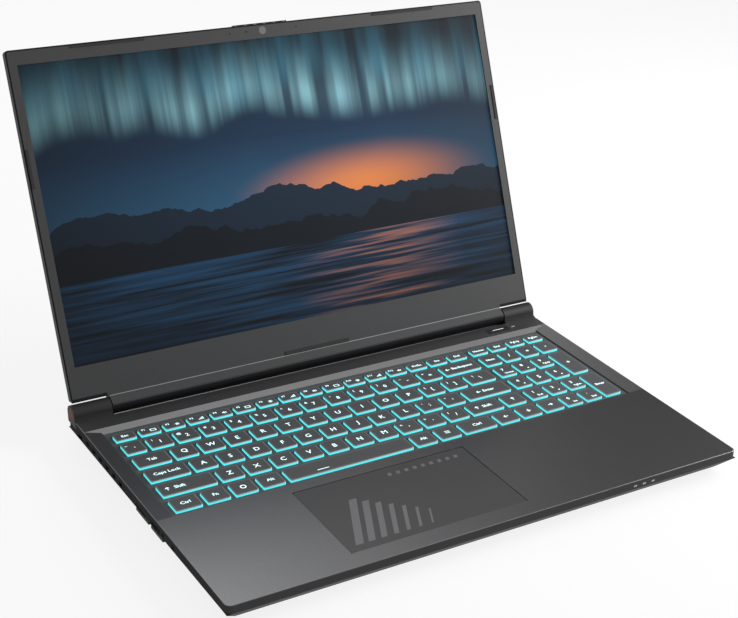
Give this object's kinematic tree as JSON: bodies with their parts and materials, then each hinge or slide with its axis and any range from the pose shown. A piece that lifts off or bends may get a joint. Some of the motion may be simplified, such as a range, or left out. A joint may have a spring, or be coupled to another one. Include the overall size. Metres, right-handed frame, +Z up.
{
  "type": "laptop computer",
  "caption": "Clamshell laptop computer, opened, with a backlit keyboard and number pad, a touchpad, a wide screen, side sockets and a friction hinge.",
  "frame": {"origin": "middle of the bounding box at desk level, lid open as pictured", "axes": "+X along the hinge to the right of a user, +Y from the front edge to the hinge, +Z up from the desk"},
  "size_m": [0.36, 0.3264, 0.2331],
  "materials": {
    "bezel_plastic": "matte",
    "board": "matte",
    "case_metal": "satin",
    "case_plastic": "matte",
    "copper": "satin",
    "fins": "satin",
    "key_plastic": "matte",
    "lens": "gloss",
    "light": "gloss",
    "pad_surface": "satin",
    "rubber": "matte",
    "screen": "semi-gloss",
    "steel": "satin"
  },
  "bodies": {
    "base": {"audio_jacks": "case_plastic", "battery_pack": "case_plastic", "bottom_cover": "case_plastic", "card_slot": "steel", "case_screws": "steel", "chip_packages": "board", "cold_plates": "copper", "compact_display_socket": "steel", "display_socket": "steel", "expansion_cards": "board", "fan_housings": "case_plastic", "fin_stacks": "fins", "heat_pipes": "copper", "hinge_brackets": "steel", "hinge_covers": "case_plastic", "keyboard_backplate": "steel", "keyboard_frame": "key_plastic", "left_data_socket": "steel", "main_board": "board", "memory_modules": "board", "network_jack": "steel", "power_inlet": "case_plastic", "right_data_sockets": "steel", "round_edge_socket": "steel", "rubber_feet": "rubber", "speakers": "case_plastic", "status_lights": "light", "top_case": "case_metal"},
    "lid": {"camera_module": "lens", "display_panel": "screen", "hinge_arms": "steel", "lid_bumpers": "rubber", "lid_cover": "case_metal", "screen_bezel": "bezel_plastic"},
    "arrow_keys": {"arrow_keys": "key_plastic"},
    "backslash_key": {"backslash_key": "key_plastic"},
    "backspace_key": {"backspace_key": "key_plastic"},
    "caps_key": {"caps_key": "key_plastic"},
    "enter_key": {"enter_key": "key_plastic"},
    "function_row_keys": {"function_row_keys": "key_plastic"},
    "grave_key": {"grave_key": "key_plastic"},
    "home_letter_keys": {"home_letter_keys": "key_plastic"},
    "left_control_key": {"left_control_key": "key_plastic"},
    "left_shift_key": {"left_shift_key": "key_plastic"},
    "lower_letter_keys": {"lower_letter_keys": "key_plastic"},
    "modifier_keys": {"modifier_keys": "key_plastic"},
    "navigation_keys": {"navigation_keys": "key_plastic"},
    "number_row_keys": {"number_row_keys": "key_plastic"},
    "numpad_enter_key": {"numpad_enter_key": "key_plastic"},
    "numpad_keys": {"numpad_keys": "key_plastic"},
    "numpad_plus_key": {"numpad_plus_key": "key_plastic"},
    "right_control_key": {"right_control_key": "key_plastic"},
    "right_shift_key": {"right_shift_key": "key_plastic"},
    "space_bar": {"space_bar": "key_plastic"},
    "tab_key": {"tab_key": "key_plastic"},
    "upper_letter_keys": {"upper_letter_keys": "key_plastic"},
    "power_button": {"power_button": "key_plastic"},
    "touchpad": {"touchpad": "pad_surface"},
    "fan_rotor_left": {"fan_rotor_left": "case_plastic"},
    "fan_rotor_right": {"fan_rotor_right": "case_plastic"}
  },
  "joints": [
    {"name": "lid_hinge", "type": "hinge", "parent": "base", "child": "lid", "pos_m": [0, 0.06948, 0.01794], "axis": [1, 0, 0], "range_deg": [-22.5, 112.5]},
    {"name": "arrow_keys_press", "type": "slide", "parent": "base", "child": "arrow_keys", "axis": [0, 0, -1], "range_m": [0, 0.0015], "stiffness_N_per_m": 300, "springref_m": -0.0008},
    {"name": "backslash_key_press", "type": "slide", "parent": "base", "child": "backslash_key", "axis": [0, 0, -1], "range_m": [0, 0.0015], "stiffness_N_per_m": 300, "springref_m": -0.0008},
    {"name": "backspace_key_press", "type": "slide", "parent": "base", "child": "backspace_key", "axis": [0, 0, -1], "range_m": [0, 0.0015], "stiffness_N_per_m": 300, "springref_m": -0.0008},
    {"name": "caps_key_press", "type": "slide", "parent": "base", "child": "caps_key", "axis": [0, 0, -1], "range_m": [0, 0.0015], "stiffness_N_per_m": 300, "springref_m": -0.0008},
    {"name": "enter_key_press", "type": "slide", "parent": "base", "child": "enter_key", "axis": [0, 0, -1], "range_m": [0, 0.0015], "stiffness_N_per_m": 300, "springref_m": -0.0008},
    {"name": "function_row_keys_press", "type": "slide", "parent": "base", "child": "function_row_keys", "axis": [0, 0, -1], "range_m": [0, 0.0015], "stiffness_N_per_m": 300, "springref_m": -0.0008},
    {"name": "grave_key_press", "type": "slide", "parent": "base", "child": "grave_key", "axis": [0, 0, -1], "range_m": [0, 0.0015], "stiffness_N_per_m": 300, "springref_m": -0.0008},
    {"name": "home_letter_keys_press", "type": "slide", "parent": "base", "child": "home_letter_keys", "axis": [0, 0, -1], "range_m": [0, 0.0015], "stiffness_N_per_m": 300, "springref_m": -0.0008},
    {"name": "left_control_key_press", "type": "slide", "parent": "base", "child": "left_control_key", "axis": [0, 0, -1], "range_m": [0, 0.0015], "stiffness_N_per_m": 300, "springref_m": -0.0008},
    {"name": "left_shift_key_press", "type": "slide", "parent": "base", "child": "left_shift_key", "axis": [0, 0, -1], "range_m": [0, 0.0015], "stiffness_N_per_m": 300, "springref_m": -0.0008},
    {"name": "lower_letter_keys_press", "type": "slide", "parent": "base", "child": "lower_letter_keys", "axis": [0, 0, -1], "range_m": [0, 0.0015], "stiffness_N_per_m": 300, "springref_m": -0.0008},
    {"name": "modifier_keys_press", "type": "slide", "parent": "base", "child": "modifier_keys", "axis": [0, 0, -1], "range_m": [0, 0.0015], "stiffness_N_per_m": 300, "springref_m": -0.0008},
    {"name": "navigation_keys_press", "type": "slide", "parent": "base", "child": "navigation_keys", "axis": [0, 0, -1], "range_m": [0, 0.0015], "stiffness_N_per_m": 300, "springref_m": -0.0008},
    {"name": "number_row_keys_press", "type": "slide", "parent": "base", "child": "number_row_keys", "axis": [0, 0, -1], "range_m": [0, 0.0015], "stiffness_N_per_m": 300, "springref_m": -0.0008},
    {"name": "numpad_enter_key_press", "type": "slide", "parent": "base", "child": "numpad_enter_key", "axis": [0, 0, -1], "range_m": [0, 0.0015], "stiffness_N_per_m": 300, "springref_m": -0.0008},
    {"name": "numpad_keys_press", "type": "slide", "parent": "base", "child": "numpad_keys", "axis": [0, 0, -1], "range_m": [0, 0.0015], "stiffness_N_per_m": 300, "springref_m": -0.0008},
    {"name": "numpad_plus_key_press", "type": "slide", "parent": "base", "child": "numpad_plus_key", "axis": [0, 0, -1], "range_m": [0, 0.0015], "stiffness_N_per_m": 300, "springref_m": -0.0008},
    {"name": "right_control_key_press", "type": "slide", "parent": "base", "child": "right_control_key", "axis": [0, 0, -1], "range_m": [0, 0.0015], "stiffness_N_per_m": 300, "springref_m": -0.0008},
    {"name": "right_shift_key_press", "type": "slide", "parent": "base", "child": "right_shift_key", "axis": [0, 0, -1], "range_m": [0, 0.0015], "stiffness_N_per_m": 300, "springref_m": -0.0008},
    {"name": "space_bar_press", "type": "slide", "parent": "base", "child": "space_bar", "axis": [0, 0, -1], "range_m": [0, 0.0015], "stiffness_N_per_m": 300, "springref_m": -0.0008},
    {"name": "tab_key_press", "type": "slide", "parent": "base", "child": "tab_key", "axis": [0, 0, -1], "range_m": [0, 0.0015], "stiffness_N_per_m": 300, "springref_m": -0.0008},
    {"name": "upper_letter_keys_press", "type": "slide", "parent": "base", "child": "upper_letter_keys", "axis": [0, 0, -1], "range_m": [0, 0.0015], "stiffness_N_per_m": 300, "springref_m": -0.0008},
    {"name": "power_press", "type": "slide", "parent": "base", "child": "power_button", "axis": [0, 0, -1], "range_m": [0, 0.0006], "stiffness_N_per_m": 1200, "springref_m": -0.0006},
    {"name": "touchpad_click", "type": "hinge", "parent": "base", "child": "touchpad", "pos_m": [-0.03605, -0.07738, 0.0148], "axis": [1, 0, 0], "range_deg": [0, 0.35], "stiffness_Nm_per_rad": 12, "springref_deg": -0.23},
    {"name": "fan_spin_left", "type": "hinge", "parent": "base", "child": "fan_rotor_left", "pos_m": [-0.12, 0.01482, 0.0057], "axis": [0, 0, 1], "continuous": true},
    {"name": "fan_spin_right", "type": "hinge", "parent": "base", "child": "fan_rotor_right", "pos_m": [0.12, 0.01482, 0.0057], "axis": [0, 0, 1], "continuous": true}
  ]
}
